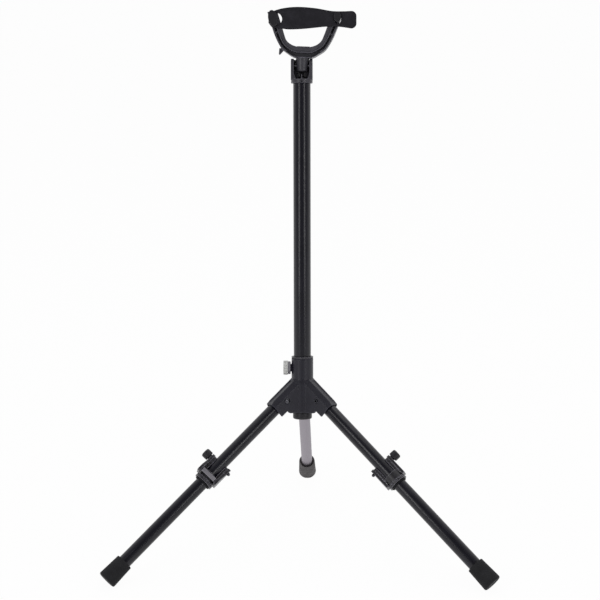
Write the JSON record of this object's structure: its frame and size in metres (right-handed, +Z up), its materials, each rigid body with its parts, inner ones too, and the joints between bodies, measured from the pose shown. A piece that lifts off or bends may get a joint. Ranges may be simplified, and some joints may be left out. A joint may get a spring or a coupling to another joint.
{
  "type": "guitar stand",
  "caption": "Folding guitar stand with tripod legs, a leaning column that slides in a hub, a neck yoke with rubber strap, and swing-out body supports on the front legs.",
  "frame": {"origin": "middle of the box in X and Y, on the floor that the feet stand on", "axes": "+Z up, -Y is the front where the guitar's face looks, +X is to the right seen from the front; the column leans back towards +Y by 12.5 degrees"},
  "size_m": [0.5468, 0.3938, 0.7541],
  "materials": {
    "hub_plastic": "moulded black, satin",
    "clamp_plastic": "moulded black, satin",
    "knob_plastic": "moulded black",
    "grip_grey": "light grey grip",
    "skirt_grey": "mid grey",
    "yoke_plastic": "moulded dark grey",
    "black_paint": "satin black powder coat on steel tube",
    "silver_tube": "silver, satin",
    "black_steel": "blackened steel",
    "brass": "plain",
    "cap_rubber": "matt black rubber",
    "grey_rubber": "matt grey rubber",
    "liner_rubber": "soft dark grey rubber",
    "strap_rubber": "black rubber"
  },
  "bodies": {
    "hub": {"hub_body": "hub_plastic", "column_bush": "clamp_plastic", "insert_nut": "brass", "left_pivot_bolt": "black_steel", "right_pivot_bolt": "black_steel", "rear_pivot_bolt": "black_steel"},
    "height_knob": {"height_screw": "black_steel", "height_knob_skirt": "skirt_grey", "height_knob_grip": "grip_grey"},
    "column": {"column_tube": "black_paint", "column_end_cap": "knob_plastic", "yoke_bracket": "yoke_plastic", "bracket_screw": "black_steel", "yoke_pivot_pin": "black_steel"},
    "yoke": {"yoke_frame": "yoke_plastic", "yoke_liner": "liner_rubber", "yoke_saddle": "strap_rubber"},
    "strap": {"neck_strap": "strap_rubber"},
    "rear_leg": {"rear_leg_tube": "silver_tube", "rear_leg_knuckle": "hub_plastic", "rear_foot_cap": "grey_rubber"},
    "left_leg": {"left_leg_tube": "black_paint", "left_leg_knuckle": "hub_plastic", "left_foot_cap": "cap_rubber"},
    "left_clamp": {"left_clamp_collar": "clamp_plastic", "left_notched_ring": "clamp_plastic", "left_ring_band": "cap_rubber", "left_pivot_stud": "black_steel"},
    "left_arm": {"left_support_arm": "clamp_plastic", "left_arm_pad": "skirt_grey"},
    "left_knob": {"left_clamp_bolt": "black_steel", "left_clamp_knob": "knob_plastic"},
    "right_leg": {"right_leg_tube": "black_paint", "right_leg_knuckle": "hub_plastic", "right_foot_cap": "cap_rubber"},
    "right_clamp": {"right_clamp_collar": "clamp_plastic", "right_notched_ring": "clamp_plastic", "right_ring_band": "cap_rubber", "right_pivot_stud": "black_steel"},
    "right_arm": {"right_support_arm": "clamp_plastic", "right_arm_pad": "skirt_grey"},
    "right_knob": {"right_clamp_bolt": "black_steel", "right_clamp_knob": "knob_plastic"}
  },
  "joints": [
    {"name": "column_slide", "type": "slide", "parent": "hub", "child": "column", "axis": [0, 0.2164, 0.9763], "range_m": [-0.39, 0]},
    {"name": "height_knob_turn", "type": "hinge", "parent": "hub", "child": "height_knob", "pos_m": [0, 0.02233, 0.24519], "axis": [-1, 0, 0], "continuous": true},
    {"name": "yoke_fold", "type": "hinge", "parent": "column", "child": "yoke", "pos_m": [0, 0.11691, 0.67183], "axis": [1, 0, 0], "range_deg": [0, 90]},
    {"name": "strap_swing", "type": "hinge", "parent": "yoke", "child": "strap", "pos_m": [-0.0405, 0.13098, 0.73529], "axis": [0, -0.9763, 0.2164], "range_deg": [0, 110], "deforming": ["neck_strap"]},
    {"name": "rear_leg_fold", "type": "hinge", "parent": "hub", "child": "rear_leg", "pos_m": [0, 0.04285, 0.19454], "axis": [-1, 0, 0], "range_deg": [0, 50]},
    {"name": "left_leg_fold", "type": "hinge", "parent": "hub", "child": "left_leg", "pos_m": [-0.02685, -0.00255, 0.20461], "axis": [0.5, -0.8455, 0.1874], "range_deg": [0, 50]},
    {"name": "left_clamp_slide", "type": "slide", "parent": "left_leg", "child": "left_clamp", "axis": [0.6634, 0.5131, 0.5446], "range_m": [-0.13, 0.07]},
    {"name": "left_arm_fold", "type": "hinge", "parent": "left_clamp", "child": "left_arm", "pos_m": [-0.11641, -0.07181, 0.13108], "axis": [-0.7321, 0.2946, 0.6142], "range_deg": [0, 90]},
    {"name": "left_knob_turn", "type": "hinge", "parent": "left_clamp", "child": "left_knob", "pos_m": [-0.11641, -0.07181, 0.13108], "axis": [-0.7321, 0.2946, 0.6142], "continuous": true},
    {"name": "right_leg_fold", "type": "hinge", "parent": "hub", "child": "right_leg", "pos_m": [0.02685, -0.00255, 0.20461], "axis": [0.5, 0.8455, -0.1874], "range_deg": [0, 50]},
    {"name": "right_clamp_slide", "type": "slide", "parent": "right_leg", "child": "right_clamp", "axis": [-0.6634, 0.5131, 0.5446], "range_m": [-0.13, 0.07]},
    {"name": "right_arm_fold", "type": "hinge", "parent": "right_clamp", "child": "right_arm", "pos_m": [0.11641, -0.07181, 0.13108], "axis": [0.7321, 0.2946, 0.6142], "range_deg": [0, 90]},
    {"name": "right_knob_turn", "type": "hinge", "parent": "right_clamp", "child": "right_knob", "pos_m": [0.11641, -0.07181, 0.13108], "axis": [0.7321, 0.2946, 0.6142], "continuous": true}
  ]
}
